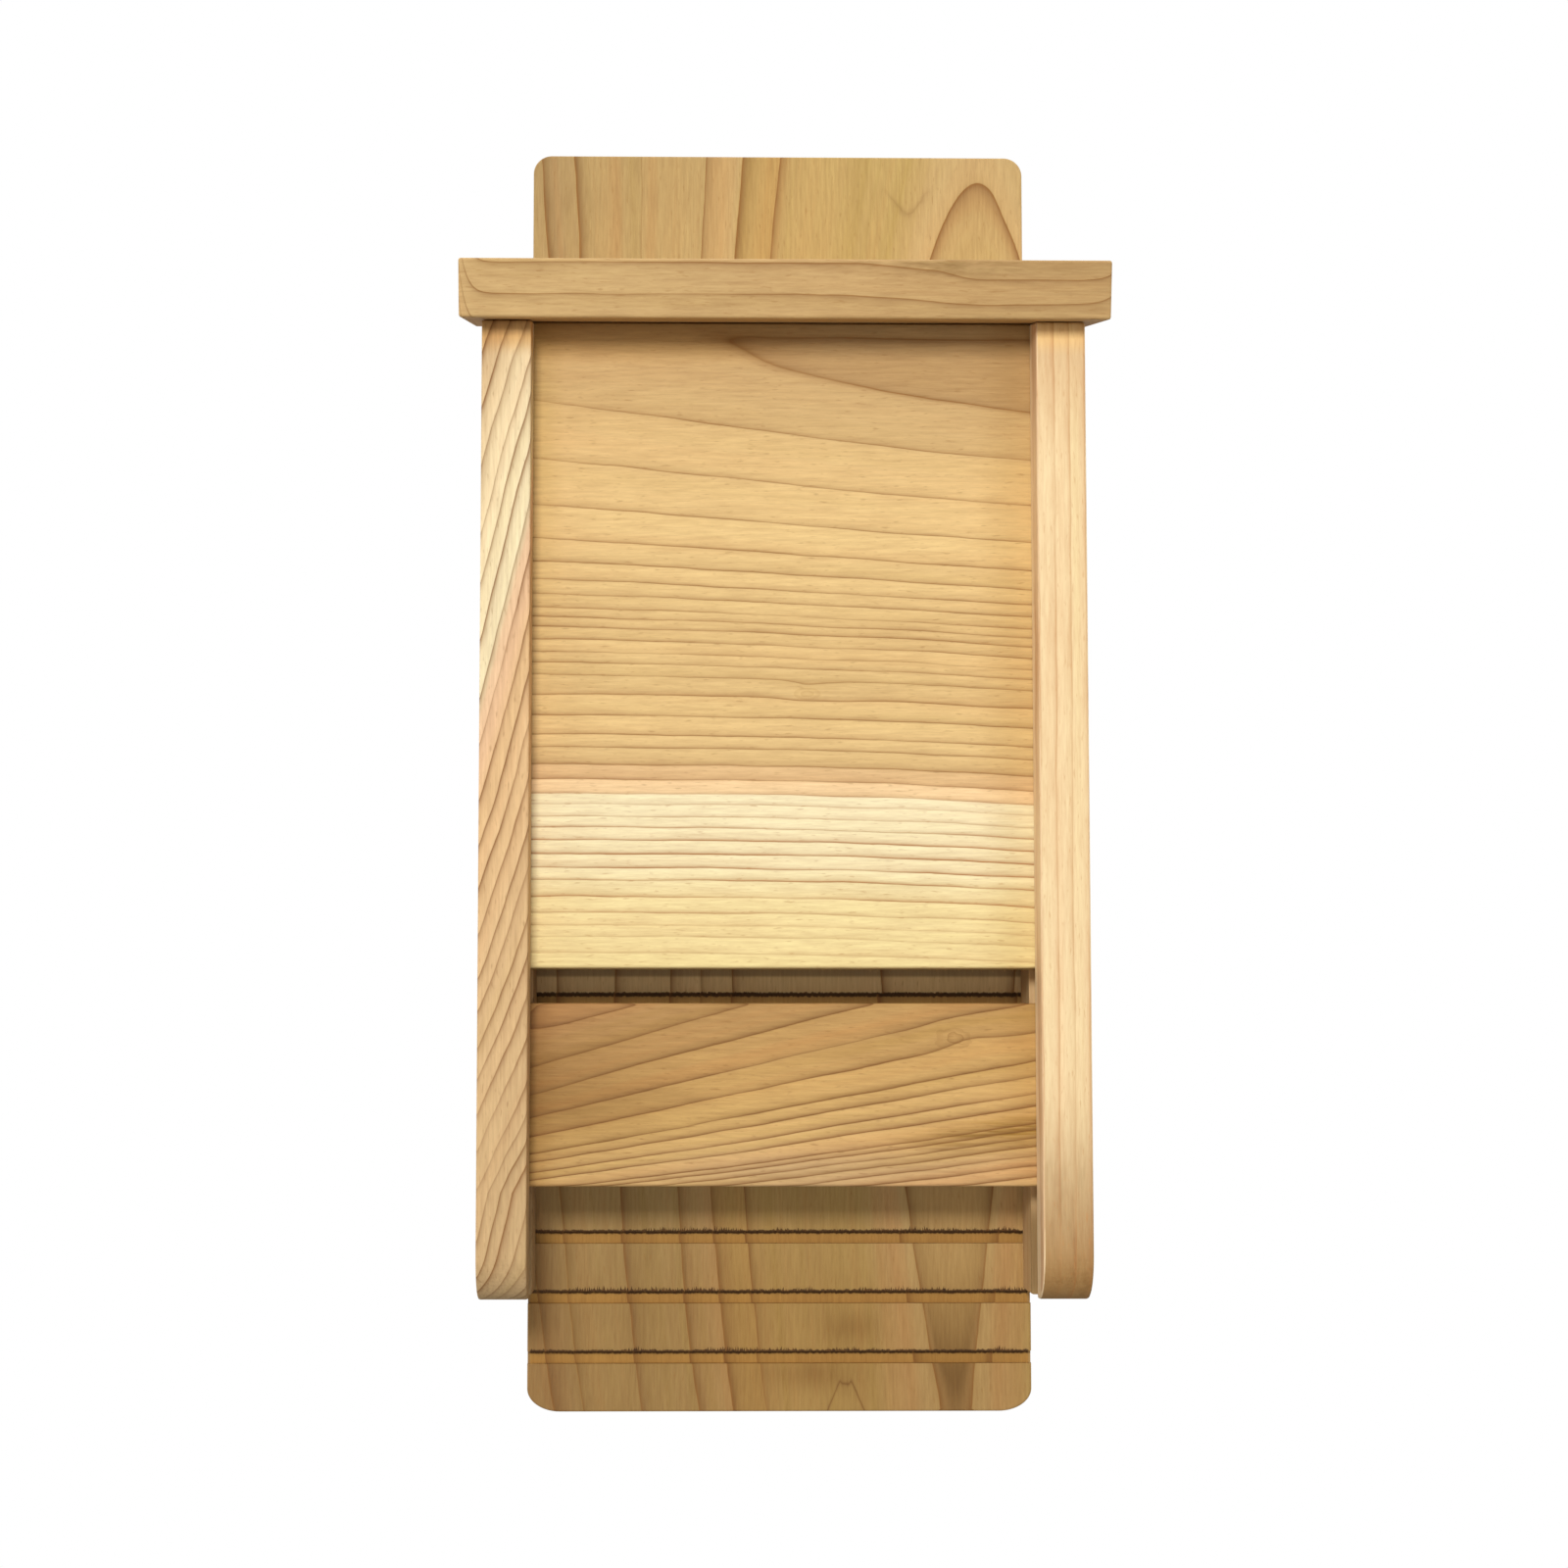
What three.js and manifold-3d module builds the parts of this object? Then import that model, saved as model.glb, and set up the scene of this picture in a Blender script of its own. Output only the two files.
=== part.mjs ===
// Single-chamber bat box: a grooved back board, two shaped side panels, two front boards with a
// vent slot between them, and a sloping roof, all nailed together.
// Millimetres. X points right, Y to the back and Z up. The origin is the middle of the back
// board's rear face, which lies against the wall.
import * as THREE from 'three';
import { mergeVertices } from 'three/addons/utils/BufferGeometryUtils.js';
import Module from 'manifold-3d';

const wasm = await Module();
wasm.setup();

// Back board
const backHeight = 508;
const backWidth = 200;
const backThickness = 19;
const backTopCorner = 7.5;
const backBottomCornerWidth = 13;
const backBottomCornerHeight = 9;

// Foothold grooves across the front of the back board
const groovePitch = 23.6;
const grooveHeight = 4.8;
const grooveDepth = 3;
const topGrooveClearance = 20;

// Side panels
const sideThickness = 19;
const sideRise = 48;
const sideFrontHeight = 374;
const sideToeRadius = 18;
const rabbetDepth = 3;
const dadoDepth = 5;

// Front boards
const chamberDepth = 27;
const frontThickness = 19;
const frontRecess = 19;
const lowerBoardRise = 42.5;
const lowerBoardHeight = 70;
const ventHeight = 13.5;

// Roof
const roofThickness = 22;
const roofSlope = THREE.MathUtils.degToRad(12.5);
const roofFrontOverhang = 17;
const roofSideOverhang = 7.5;

// Nails
const shankDiameter = 2;
const headDiameter = 3.6;
const headThickness = 0.7;
const headCone = 0.8;
const pointLength = 3;
const wallNailLength = 34;
const roofNailLength = 48;
const nailSet = 0.25;
const nailSegments = 10;

// Nail spacing: how many stand in each row and how far the end ones are from the board's edge
const backNailCount = 4;
const backNailInset = 26;
const upperNailCount = 3;
const upperNailInset = 22;
const lowerNailCount = 2;
const lowerNailInset = 11;
const roofNailCount = 2;
const roofNailInset = 13;
const roofFrontNailSpacing = 96;

// Fits and finish
const seam = 0.25;
const pilotClearance = 0.25;
const easing = 0.8;
const edgeRadius = 1.2;
const easingSteps = 2;
const cornerSteps = 8;
const overrun = 4;

// Places along Y, from the wall to the front
const backFace = -backThickness;
const chamberFront = backFace - chamberDepth;
const frontFace = chamberFront - frontThickness;
const frontMiddle = (chamberFront + frontFace) / 2;
const sideFront = frontFace - frontRecess;
const roofFront = sideFront - roofFrontOverhang;

// Places along X
const innerHalf = backWidth / 2 - rabbetDepth;
const outerHalf = innerHalf + sideThickness;
const frontBoardWidth = 2 * (innerHalf + dadoDepth - seam);
const roofWidth = 2 * (outerHalf + roofSideOverhang);

// Heights above the back board's lower edge
const lowerBoardBottom = sideRise + lowerBoardRise;
const lowerBoardTop = lowerBoardBottom + lowerBoardHeight;
const upperBoardBottom = lowerBoardTop + ventHeight;
const sideTopAt = (y) => sideRise + sideFrontHeight + (y - sideFront) * Math.tan(roofSlope);
const roofUndersideAt = (y) => sideTopAt(y) + seam / Math.cos(roofSlope);
const roofTopAt = (y) => roofUndersideAt(y) + roofThickness / Math.cos(roofSlope);

// Bases that stand a drawn outline up: its own x, its y and its depth take these directions.
const right = new THREE.Vector3(1, 0, 0);
const back = new THREE.Vector3(0, 1, 0);
const up = new THREE.Vector3(0, 0, 1);
const facingFront = new THREE.Matrix4().makeBasis(right, up, back.clone().negate());
const facingSide = new THREE.Matrix4().makeBasis(back, up, right);

// A closed outline through corners [x, y, radius], listed counter-clockwise, each one rounded.
function roundedOutline(corners) {
  const shape = new THREE.Shape();
  corners.forEach(([x, y, radius], i) => {
    const corner = new THREE.Vector2(x, y);
    const [beforeX, beforeY] = corners.at(i - 1);
    const [afterX, afterY] = corners[(i + 1) % corners.length];
    const incoming = new THREE.Vector2(beforeX, beforeY).sub(corner).normalize();
    const outgoing = new THREE.Vector2(afterX, afterY).sub(corner).normalize();
    const halfAngle = Math.acos(incoming.dot(outgoing)) / 2;
    const start = corner.clone().addScaledVector(incoming, radius / Math.tan(halfAngle));
    const inward = incoming.clone().add(outgoing).normalize();
    const centre = corner.clone().addScaledVector(inward, radius / Math.sin(halfAngle));
    const startAngle = start.sub(centre).angle();
    const endAngle = startAngle + Math.PI - 2 * halfAngle;
    shape.absarc(centre.x, centre.y, radius, startAngle, endAngle, false);
  });
  shape.closePath();
  return shape;
}

// A board of the given thickness cut to an outline, with the edges of both faces eased.
function boardGeometry(shape, thickness) {
  const geometry = new THREE.ExtrudeGeometry(shape, {
    depth: thickness - 2 * easing,
    bevelThickness: easing,
    bevelSize: easing,
    bevelOffset: -easing,
    bevelSegments: easingSteps,
    curveSegments: cornerSteps,
  });
  return geometry.translate(0, 0, easing);
}

// A closed geometry as a solid that can be joined and cut.
function toSolid(geometry) {
  const bare = geometry.clone();
  bare.deleteAttribute('normal');
  bare.deleteAttribute('uv');
  const merged = mergeVertices(bare);
  const corners = merged.index.array;
  const triangles = [];
  for (let i = 0; i < corners.length; i += 3) {
    const [a, b, c] = corners.slice(i, i + 3);
    if (a !== b && b !== c && c !== a) triangles.push(a, b, c);
  }
  return new wasm.Manifold(new wasm.Mesh({
    numProp: 3,
    vertProperties: merged.attributes.position.array,
    triVerts: new Uint32Array(triangles),
  }));
}

function toGeometry(solid) {
  const { vertProperties, triVerts } = solid.getMesh();
  const geometry = new THREE.BufferGeometry();
  geometry.setAttribute('position', new THREE.BufferAttribute(vertProperties, 3));
  geometry.setIndex(new THREE.BufferAttribute(triVerts, 1));
  geometry.computeVertexNormals();
  return geometry;
}

// A rectangular cutter between its lowest and highest corners.
function cutterBetween(low, high) {
  const size = new THREE.Vector3().subVectors(high, low);
  const middle = new THREE.Vector3().addVectors(low, high).divideScalar(2);
  const box = new THREE.BoxGeometry(size.x, size.y, size.z);
  return toSolid(box.translate(middle.x, middle.y, middle.z));
}

// A nail that points down its own Z axis from a head at the origin, grown by a margin all round.
// The headroom is how far the head's outline runs on above the head.
function nailGeometry(length, margin, headroom) {
  const shank = shankDiameter / 2 + margin;
  const head = headDiameter / 2 + margin;
  const profile = [
    [0, -length - margin],
    [shank, pointLength - length],
    [shank, -headThickness - headCone - margin],
    [head, -headThickness - margin],
    [head, headroom],
    [0, headroom],
  ];
  const points = profile.map(([radius, height]) => new THREE.Vector2(radius, height));
  return new THREE.LatheGeometry(points, nailSegments).rotateX(Math.PI / 2);
}

function evenly(count, low, high) {
  if (count === 1) return [(low + high) / 2];
  return Array.from({ length: count }, (_, i) => low + ((high - low) * i) / (count - 1));
}

// A nail has a name, the point of the surface that it is driven into, the direction that it is
// driven in, its length and the two boards that it joins.
function sideNails(side, hand) {
  const panel = `${side}_side_panel`;
  const rows = [
    {
      label: 'back',
      board: 'back_board',
      y: backFace / 2,
      heights: evenly(
        backNailCount, sideRise + backNailInset, sideTopAt(backFace) - backNailInset,
      ),
    },
    {
      label: 'upper_front',
      board: 'upper_front_board',
      y: frontMiddle,
      heights: evenly(
        upperNailCount, upperBoardBottom + upperNailInset, sideTopAt(frontFace) - upperNailInset,
      ),
    },
    {
      label: 'lower_front',
      board: 'lower_front_board',
      y: frontMiddle,
      heights: evenly(
        lowerNailCount, lowerBoardBottom + lowerNailInset, lowerBoardTop - lowerNailInset,
      ),
    },
  ];
  return rows.flatMap(({ label, board, y, heights }) => heights.map((z, i) => ({
    name: `${side}_${label}_nail_${i + 1}`,
    surface: new THREE.Vector3(hand * outerHalf, y, z),
    direction: new THREE.Vector3(-hand, 0, 0),
    length: wallNailLength,
    boards: [panel, board],
  })));
}

// A roof nail is driven square to the roof, so that halfway down it is at the given place.
function roofNail(name, x, y, board) {
  const middleDepth = (roofThickness + roofNailLength) / 2;
  const surfaceY = y - middleDepth * Math.sin(roofSlope);
  return {
    name,
    surface: new THREE.Vector3(x, surfaceY, roofTopAt(surfaceY)),
    direction: new THREE.Vector3(0, Math.sin(roofSlope), -Math.cos(roofSlope)),
    length: roofNailLength,
    boards: ['roof_board', board],
  };
}

function roofNails(side, hand) {
  const panelX = hand * (innerHalf + (dadoDepth + sideThickness) / 2);
  const depths = evenly(roofNailCount, sideFront + roofNailInset, backFace - roofNailInset);
  return [
    ...depths.map((y, i) => roofNail(`roof_${side}_nail_${i + 1}`, panelX, y, `${side}_side_panel`)),
    roofNail(
      `roof_front_nail_${side}`, (hand * roofFrontNailSpacing) / 2, frontMiddle,
      'upper_front_board',
    ),
  ];
}

const hands = [['left', -1], ['right', 1]];
const nails = hands.flatMap(([side, hand]) => [...sideNails(side, hand), ...roofNails(side, hand)]);

// The turn and the place of a nail whose head is set just below the surface.
function nailPose(nail) {
  const turn = new THREE.Quaternion().setFromUnitVectors(up, nail.direction.clone().negate());
  const place = nail.surface.clone().addScaledVector(nail.direction, nailSet);
  return { turn, place };
}

// Cuts the pilot hole of every nail that holds this board.
function drilled(board, solid) {
  return nails.filter(({ boards }) => boards.includes(board)).reduce((rest, nail) => {
    const { turn, place } = nailPose(nail);
    const pilot = nailGeometry(nail.length, pilotClearance, nailSet + overrun);
    pilot.applyQuaternion(turn).translate(place.x, place.y, place.z);
    return rest.subtract(toSolid(pilot));
  }, solid);
}

// The back board: rounded corners, and a ladder of grooves from the landing area at the bottom
// to just below the roof.
function backBoard() {
  const half = backWidth / 2;
  const topX = half - backTopCorner;
  const topZ = backHeight - backTopCorner;
  const bottomX = half - backBottomCornerWidth;
  const quarter = Math.PI / 2;
  const shape = new THREE.Shape();
  shape.absarc(topX, topZ, backTopCorner, 0, quarter, false);
  shape.absarc(-topX, topZ, backTopCorner, quarter, 2 * quarter, false);
  const ellipseCorner = (x, start) => shape.absellipse(
    x, backBottomCornerHeight, backBottomCornerWidth, backBottomCornerHeight,
    start, start + quarter, false,
  );
  ellipseCorner(-bottomX, 2 * quarter);
  ellipseCorner(bottomX, 3 * quarter);
  shape.closePath();
  let solid = toSolid(boardGeometry(shape, backThickness).applyMatrix4(facingFront));
  const highest = roofUndersideAt(backFace) - topGrooveClearance;
  for (let top = groovePitch; top < highest; top += groovePitch) {
    solid = solid.subtract(cutterBetween(
      new THREE.Vector3(-half - overrun, backFace - overrun, top - grooveHeight),
      new THREE.Vector3(half + overrun, backFace + grooveDepth, top),
    ));
  }
  return solid;
}

// A side panel: sloping top, rounded lower front corner, a dado for the front boards and a rabbet
// for the back board. A hand of -1 makes the left one and 1 the right one.
function sidePanel(hand) {
  const outline = roundedOutline([
    [sideFront, sideRise, sideToeRadius],
    [0, sideRise, edgeRadius],
    [0, sideTopAt(0), edgeRadius],
    [sideFront, sideTopAt(sideFront), edgeRadius],
  ]);
  const panel = boardGeometry(outline, sideThickness).applyMatrix4(facingSide);
  panel.translate(hand > 0 ? innerHalf : -outerHalf, 0, 0);
  const innerCut = (depth, nearY, farY) => {
    const edges = [hand * (innerHalf - overrun), hand * (innerHalf + depth)];
    return cutterBetween(
      new THREE.Vector3(Math.min(...edges), nearY, sideRise - overrun),
      new THREE.Vector3(Math.max(...edges), farY, sideTopAt(0) + overrun),
    );
  };
  return toSolid(panel)
    .subtract(innerCut(dadoDepth, frontFace - seam, chamberFront + seam))
    .subtract(innerCut(rabbetDepth + seam, backFace - seam, overrun));
}

// A front board whose ends sit in the dados. Its top is level or follows the roof.
function frontBoard(bottom, topAt) {
  const outline = roundedOutline([
    [frontFace, bottom, edgeRadius],
    [chamberFront, bottom, edgeRadius],
    [chamberFront, topAt(chamberFront), edgeRadius],
    [frontFace, topAt(frontFace), edgeRadius],
  ]);
  const board = boardGeometry(outline, frontBoardWidth).applyMatrix4(facingSide);
  return toSolid(board.translate(-frontBoardWidth / 2, 0, 0));
}

// The roof: cut square at its front edge and plumb where it meets the back board.
function roofBoard() {
  const rear = backFace - seam;
  const topFrontY = roofFront - roofThickness * Math.sin(roofSlope);
  const topFrontZ = roofUndersideAt(roofFront) + roofThickness * Math.cos(roofSlope);
  const outline = roundedOutline([
    [roofFront, roofUndersideAt(roofFront), edgeRadius],
    [rear, roofUndersideAt(rear), edgeRadius],
    [rear, roofTopAt(rear), edgeRadius],
    [topFrontY, topFrontZ, edgeRadius],
  ]);
  const board = boardGeometry(outline, roofWidth).applyMatrix4(facingSide);
  return toSolid(board.translate(-roofWidth / 2, 0, 0));
}

const boards = {
  back_board: { solid: backBoard(), color: 0xb18f5f, roughness: 0.82 },
  left_side_panel: { solid: sidePanel(-1), color: 0xe6cb9a, roughness: 0.78 },
  right_side_panel: { solid: sidePanel(1), color: 0xe6cb9a, roughness: 0.78 },
  upper_front_board: {
    solid: frontBoard(upperBoardBottom, sideTopAt), color: 0xe0be80, roughness: 0.75,
  },
  lower_front_board: {
    solid: frontBoard(lowerBoardBottom, () => lowerBoardTop), color: 0xc49a60, roughness: 0.78,
  },
  roof_board: { solid: roofBoard(), color: 0xcdaa73, roughness: 0.78 },
};
const steel = { color: 0x77746c, roughness: 0.45, metalness: 0.9 };

const batBox = new THREE.Group();
batBox.position.z = -backHeight / 2;

function addPiece(name, solid, finish) {
  const mesh = new THREE.Mesh(toGeometry(solid), new THREE.MeshStandardMaterial(finish));
  mesh.name = name;
  batBox.add(mesh);
  return mesh;
}

for (const [name, { solid, ...finish }] of Object.entries(boards)) {
  addPiece(name, drilled(name, solid), finish);
}

for (const nail of nails) {
  const { turn, place } = nailPose(nail);
  const mesh = addPiece(nail.name, toSolid(nailGeometry(nail.length, 0, 0)), steel);
  mesh.quaternion.copy(turn);
  mesh.position.copy(place);
}

export default batBox;
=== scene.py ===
"""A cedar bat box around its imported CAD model, in metres: X right, Y to the wall, Z up."""
import math
import random
import bpy
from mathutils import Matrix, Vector


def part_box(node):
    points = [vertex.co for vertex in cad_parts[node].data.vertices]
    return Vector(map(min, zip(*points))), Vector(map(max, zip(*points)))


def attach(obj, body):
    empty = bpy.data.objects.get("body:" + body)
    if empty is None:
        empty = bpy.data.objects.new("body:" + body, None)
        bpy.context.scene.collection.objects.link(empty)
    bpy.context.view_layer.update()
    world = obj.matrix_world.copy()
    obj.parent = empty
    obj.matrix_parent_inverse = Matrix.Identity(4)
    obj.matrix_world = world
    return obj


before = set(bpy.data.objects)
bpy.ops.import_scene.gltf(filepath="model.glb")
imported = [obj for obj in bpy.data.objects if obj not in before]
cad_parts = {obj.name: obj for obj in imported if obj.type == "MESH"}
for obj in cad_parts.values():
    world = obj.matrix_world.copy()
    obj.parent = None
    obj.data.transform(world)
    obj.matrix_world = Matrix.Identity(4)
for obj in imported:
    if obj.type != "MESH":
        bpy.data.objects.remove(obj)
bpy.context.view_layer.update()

MM = 0.001
WHITE = (1.0, 1.0, 1.0, 1.0)


def mm(*lengths):
    """Lengths given in millimetres, in metres."""
    return tuple(length * MM for length in lengths)


class Wire:
    """A value inside a material. Sums on it become Math nodes."""

    def __init__(self, tree, socket):
        self.tree = tree
        self.socket = socket

    def math(self, operation, *others, clamp=False):
        node = self.tree.nodes.new("ShaderNodeMath")
        node.operation = operation
        node.use_clamp = clamp
        for place, value in enumerate((self, *others)):
            plug(self.tree, value, node.inputs[place])
        return Wire(self.tree, node.outputs[0])

    def __add__(self, other):
        return self.math("ADD", other)

    def __sub__(self, other):
        return self.math("SUBTRACT", other)

    def __mul__(self, other):
        return self.math("MULTIPLY", other)

    def __truediv__(self, other):
        return self.math("DIVIDE", other)

    def __pow__(self, other):
        return self.math("POWER", other)

    def less_from(self, start):
        """What is left of start when this is taken away."""
        return self * -1.0 + start

    def fraction(self):
        return self.math("FRACT")

    def floor(self):
        return self.math("FLOOR")

    def size(self):
        return self.math("ABSOLUTE")

    def clamped(self):
        return self.math("ADD", 0.0, clamp=True)

    def above(self, limit):
        return self.math("GREATER_THAN", limit)

    def below(self, limit):
        return self.math("LESS_THAN", limit)

    def fade(self, length):
        """1 at zero, falling away over a length."""
        return (self * (-1.0 / length)).math("EXPONENT")

    def rise(self, low, high):
        """0 below low, 1 above high and smooth between them."""
        node = self.tree.nodes.new("ShaderNodeMapRange")
        node.interpolation_type = "SMOOTHSTEP"
        plug(self.tree, self, node.inputs["Value"])
        node.inputs["From Min"].default_value = low
        node.inputs["From Max"].default_value = high
        return Wire(self.tree, node.outputs["Result"])

    def drop(self, high, low):
        """0 above high, 1 below low and smooth between them."""
        return (self * -1.0).rise(-high, -low)


def plug(tree, value, socket):
    if isinstance(value, Wire):
        tree.links.new(value.socket, socket)
    else:
        socket.default_value = value


def hypotenuse(a, b):
    return (a * a + b * b).math("SQRT")


def vector(x, y, z):
    node = x.tree.nodes.new("ShaderNodeCombineXYZ")
    for socket, value in zip(node.inputs, (x, y, z)):
        plug(x.tree, value, socket)
    return Wire(x.tree, node.outputs[0])


def noise(place, detail=2.0, rough=0.5, scale=1.0):
    """Smooth noise round zero, from about -1 to 1."""
    node = place.tree.nodes.new("ShaderNodeTexNoise")
    plug(place.tree, place, node.inputs["Vector"])
    node.inputs["Scale"].default_value = scale
    node.inputs["Detail"].default_value = detail
    node.inputs["Roughness"].default_value = rough
    return (Wire(place.tree, node.outputs["Fac"]) - 0.5) * 2.0


def grain_noise(places, rates, detail=2.0, rough=0.5, offset=0.0):
    """Noise drawn out along the grain. rates are its waves to the metre along and across it."""
    along, wide, thick = places
    start = along * rates[0] + offset
    return noise(vector(start, wide * rates[1], thick * rates[1]), detail, rough)


def blended(amount, first, second, mode="MIX"):
    """The first colour where amount is 0 and the second where it is 1."""
    tree = amount.tree
    node = tree.nodes.new("ShaderNodeMix")
    node.data_type = "RGBA"
    node.blend_type = mode
    node.clamp_factor = True
    plug(tree, amount, node.inputs[0])
    plug(tree, first, node.inputs[6])
    plug(tree, second, node.inputs[7])
    return Wire(tree, node.outputs[2])


def tinted(amount, colour, tint):
    """A colour seen through a tint where amount is 1, and as it is where amount is 0."""
    return blended(amount, colour, tint, "MULTIPLY")


def ramp(amount, stops):
    """Colours along a value from 0 to 1."""
    node = amount.tree.nodes.new("ShaderNodeValToRGB")
    plug(amount.tree, amount, node.inputs[0])
    elements = node.color_ramp.elements
    while len(elements) < len(stops):
        elements.new(0.5)
    for element, (place, colour) in zip(elements, stops):
        element.position = place
        element.color = colour
    return Wire(amount.tree, node.outputs[0])


def rgb(red, green, blue):
    """A colour as it looks on a screen, from 0 to 255, as the linear colour that makes it."""
    def linear(value):
        share = value / 255
        return share / 12.92 if share <= 0.04045 else ((share + 0.055) / 1.055) ** 2.4
    return (linear(red), linear(green), linear(blue), 1.0)


def new_material(name):
    """A material, its nodes, its shader and the object's own x, y and z."""
    material = bpy.data.materials.new(name)
    material.use_nodes = True
    tree = material.node_tree
    shader = next(node for node in tree.nodes if node.type == "BSDF_PRINCIPLED")
    coordinates = tree.nodes.new("ShaderNodeTexCoord")
    apart = tree.nodes.new("ShaderNodeSeparateXYZ")
    tree.links.new(coordinates.outputs["Object"], apart.inputs[0])
    return material, tree, shader, [Wire(tree, socket) for socket in apart.outputs]


def polynomial(x, terms):
    """terms[0] + terms[1] x + terms[2] x x and so on."""
    total = x * 0.0 + terms[0]
    power = x
    for term in terms[1:]:
        total = total + power * term
        power = power * x
    return total


def spot(a, b, centre, reach):
    """1 at a place on a board, fading to 0 round it."""
    across = (a - centre[0]) / reach[0]
    up = (b - centre[1]) / reach[1]
    return (across * across + up * up).fade(1.0)


# Rings. Each of the two functions gives how far it is to the next line, how far it is past the
# last one and the ring's number.
SHUFFLE_RATE = 62.0
CHART_MARGIN = 1.1
FIRST_COUNT = 0.4
RATE_STEP = 0.4 * MM
LEAST_RATE = 5.0


def even_rings(radius, width, start, shuffle, seed):
    """Rings of nearly one width."""
    uneven = noise(vector(radius * SHUFFLE_RATE + seed, seed, 0.0), 1.0) * shuffle
    count = radius / width + uneven + start
    return count.fraction().less_from(1.0) * width, count.fraction() * width, count.floor()


def listed_rings(radius, radii):
    """Rings at given radii in millimetres, which are charted as a curve."""
    reach = radii[-1] * MM * CHART_MARGIN
    total = len(radii) + 1

    def ring_count(place):
        node = radius.tree.nodes.new("ShaderNodeFloatCurve")
        points = node.mapping.curves[0].points
        chart = [(0.0, FIRST_COUNT / total), *((ring * MM / reach, (number + 1) / total)
                                               for number, ring in enumerate(radii)), (1.0, 1.0)]
        while len(points) < len(chart):
            points.new(0.5, 0.5)
        for point, place_and_count in zip(points, chart):
            point.location = place_and_count
            point.handle_type = "VECTOR"
        node.mapping.update()
        plug(radius.tree, place / reach, node.inputs["Value"])
        return Wire(radius.tree, node.outputs[0]) * total

    count = ring_count(radius)
    growth = ring_count(radius + RATE_STEP) - ring_count(radius - RATE_STEP)
    rate = growth / (2 * RATE_STEP)
    width = rate.math("MAXIMUM", LEAST_RATE) ** -1.0
    return count.fraction().less_from(1.0) * width, count.fraction() * width, count.floor()


# Marks that every piece of cedar has. Rates are waves to the metre along and across the grain.
WAVE_SHAPE = 3.0
WAVE_IN_DEPTH = 0.15
RIPPLE = 0.8 * MM
RIPPLE_RATES = (30.0, 60.0)
FIBRE_RATES = (70.0, 900.0)
FLECK_RATES = (210.0, 1000.0)
CLOUD_RATES = (5.0, 22.0)
WARMTH_RATES = (3.5, 34.0)
# These are to the metre of radius and of length.
BAND_RATES = (130.0, 2.0)
# A ring's strength changes from ring to ring and along its length, and its tone from ring to
# ring. A slice keeps one noise apart from another.
STRENGTH_RATES = (3.7, 12.0)
STRENGTH_SPREAD = 1.3
RING_TONE_RATE = 5.3
STRENGTH_SLICE, RING_TONE_SLICE, BAND_SLICE = 0.3, 0.7, 0.9
LINE_END = 0.14 * MM
LEAST_SIDE_SHARE = 0.3
FLECK_RANGE = (0.22, 0.60)
RING_TONE_SHARE, WARMTH_SHARE, FIBRE_SHARE, FLECK_SHARE = 0.20, 0.16, 0.30, 0.34
BAND_GAIN = 1.6
PALE_EDGE = 0.5 * MM
WOOD_ROUGHNESS = 0.7
WOOD_SHINE = 0.22
BUMP_STRENGTH = 0.4
BUMP_HEIGHT = 0.25 * MM
LINE_BUMP, FIBRE_BUMP = 0.8, 0.35
LATE = rgb(148, 102, 48)
PINK = rgb(255, 218, 196)
OLIVE = rgb(228, 226, 178)

X, Y, Z = 0, 1, 2
# The axes of a board's length, width and thickness.
LENGTHWISE = (Z, X, Y)
CROSSWISE = (X, Z, Y)


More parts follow.
